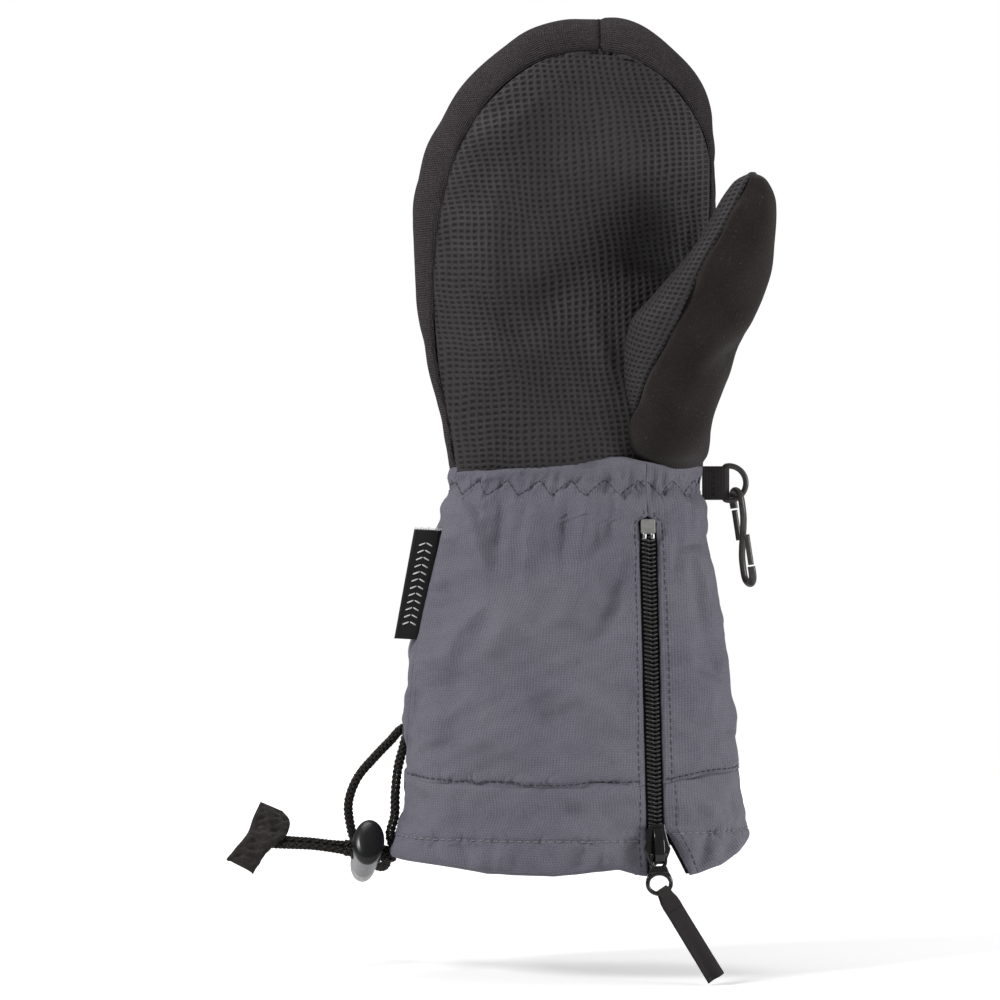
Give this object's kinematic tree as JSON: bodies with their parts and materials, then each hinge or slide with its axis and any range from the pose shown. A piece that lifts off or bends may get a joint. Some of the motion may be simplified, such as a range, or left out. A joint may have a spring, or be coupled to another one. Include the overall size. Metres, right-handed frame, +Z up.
{
  "type": "ski mitten",
  "caption": "Insulated right-hand ski mitten with a textured palm, curved thumb, zipped gauntlet cuff, hem drawcord with lock, woven label and wrist clip.",
  "frame": {"origin": "middle of the back hem edge, on the plane of the cuff rim", "axes": "+Z up along the fingers, palm faces -Y, thumb on the +X side"},
  "size_m": [0.1971, 0.0884, 0.3468],
  "materials": {
    "grip": "soft textured grip laminate",
    "oxford": "coarse oxford weave",
    "suede": "brushed microfibre",
    "cuff_nylon": "fine woven nylon",
    "lining": "brushed tricot",
    "down": "quilted insulation",
    "membrane": "thin film",
    "elastic": "ribbed tape",
    "webbing": "ribbed webbing",
    "tape": "twill tape",
    "black_plastic": "moulded, satin to gloss",
    "grey_plastic": "moulded matte",
    "zip_metal": "gloss lacquer",
    "steel": "bright",
    "cord": "braided",
    "label": "woven satin"
  },
  "bodies": {
    "mitten": {"palm_panel": "grip", "side_band_little_finger": "oxford", "side_band_index_finger": "oxford", "back_panel": "oxford", "membrane_insert": "membrane", "palm_insulation": "down", "down_baffle": "down", "hand_lining": "lining", "thumb_palm_panel_base": "grip", "thumb_back_panel_base": "suede", "thumb_insulation_base": "down", "thumb_lining_base": "lining", "cuff_front_panel": "cuff_nylon", "cuff_side_panel": "cuff_nylon", "cuff_back_panel": "cuff_nylon", "hem_front_band": "cuff_nylon", "hem_side_band": "cuff_nylon", "hem_back_band": "cuff_nylon", "cuff_lining": "lining", "wrist_elastic": "elastic", "drawcord_casing": "lining", "zip_teeth_front": "black_plastic", "zip_teeth_thumb": "black_plastic", "zip_top_stop": "grey_plastic", "zip_tape_front": "tape", "zip_tape_thumb": "tape", "drawcord_inner_run": "cord", "drawcord": "cord"},
    "thumb_tip": {"thumb_palm_panel_tip": "grip", "thumb_back_panel_tip": "suede", "thumb_insulation_tip": "down", "thumb_lining_tip": "lining"},
    "slider": {"zip_slider": "zip_metal"},
    "pull": {"zip_pull": "zip_metal"},
    "ribbon": {"pull_ribbon": "webbing"},
    "lock_barrel": {"cord_lock_barrel": "black_plastic", "cord_lock_spring": "steel"},
    "lock_plunger": {"cord_lock_plunger": "grey_plastic"},
    "end_tab": {"cord_end_tab": "suede"},
    "label": {"side_label": "label"},
    "strap": {"clip_strap": "webbing"},
    "ring": {"clip_ring": "black_plastic"},
    "hook": {"clip_hook": "black_plastic"},
    "gate_upper": {"clip_gate_upper": "black_plastic"},
    "gate_lower": {"clip_gate_lower": "black_plastic"}
  },
  "joints": [
    {"name": "thumb_flex", "type": "hinge", "parent": "mitten", "child": "thumb_tip", "pos_m": [0.043, -0.0604, 0.197], "axis": [0, 1, 0], "range_deg": [0, 22], "stiffness_Nm_per_rad": 0.02},
    {"name": "zip_run", "type": "slide", "parent": "mitten", "child": "slider", "axis": [-0.0206, 0.0745, 0.997], "range_m": [0, 0.1042]},
    {"name": "pull_hinge", "type": "hinge", "parent": "slider", "child": "pull", "pos_m": [0.03062, -0.06758, 0.00855], "axis": [0.9736, 0.2281, 0.003], "range_deg": [-110, 0]},
    {"name": "ribbon_hinge", "type": "hinge", "parent": "pull", "child": "ribbon", "pos_m": [0.03295, -0.06815, -0.00548], "axis": [0.824, 0.2339, 0.5161], "range_deg": [-40, 0]},
    {"name": "lock_run", "type": "slide", "parent": "mitten", "child": "lock_barrel", "axis": [-0.9943, 0, 0.107], "range_m": [0, 0.022]},
    {"name": "lock_press", "type": "slide", "parent": "lock_barrel", "child": "lock_plunger", "axis": [0.064, -0.8017, 0.5944], "range_m": [0, 0.002], "stiffness_N_per_m": 400, "springref_m": -0.001},
    {"name": "tab_hinge", "type": "hinge", "parent": "mitten", "child": "end_tab", "pos_m": [-0.1104, -0.0344, 0.01135], "axis": [0.0858, 0.5978, 0.7971], "range_deg": [-35, 35]},
    {"name": "label_hinge", "type": "hinge", "parent": "mitten", "child": "label", "pos_m": [-0.0549, -0.0435, 0.0844], "axis": [0.2071, 0, 0.9783], "range_deg": [-40, 40], "stiffness_Nm_per_rad": 0.0005},
    {"name": "strap_hinge", "type": "hinge", "parent": "mitten", "child": "strap", "pos_m": [0.0494, -0.0334, 0.1412], "axis": [0, 0, 1], "range_deg": [-20, 20], "stiffness_Nm_per_rad": 0.0005},
    {"name": "ring_hinge", "type": "hinge", "parent": "strap", "child": "ring", "pos_m": [0.0554, -0.0334, 0.1412], "axis": [0, 0, 1], "range_deg": [-25, 25]},
    {"name": "hook_swing", "type": "hinge", "parent": "ring", "child": "hook", "pos_m": [0.06006, -0.0334, 0.13564], "axis": [0.8829, 0, 0.4695], "range_deg": [-14, 10]},
    {"name": "gate_upper_hinge", "type": "hinge", "parent": "hook", "child": "gate_upper", "pos_m": [0.06095, -0.03004, 0.12111], "axis": [0.9229, 0.3588, 0.1395], "range_deg": [0, 16], "stiffness_Nm_per_rad": 0.005},
    {"name": "gate_lower_hinge", "type": "hinge", "parent": "hook", "child": "gate_lower", "pos_m": [0.0635, -0.03676, 0.12149], "axis": [0.9229, 0.3588, 0.1395], "range_deg": [0, 16], "stiffness_Nm_per_rad": 0.005}
  ]
}
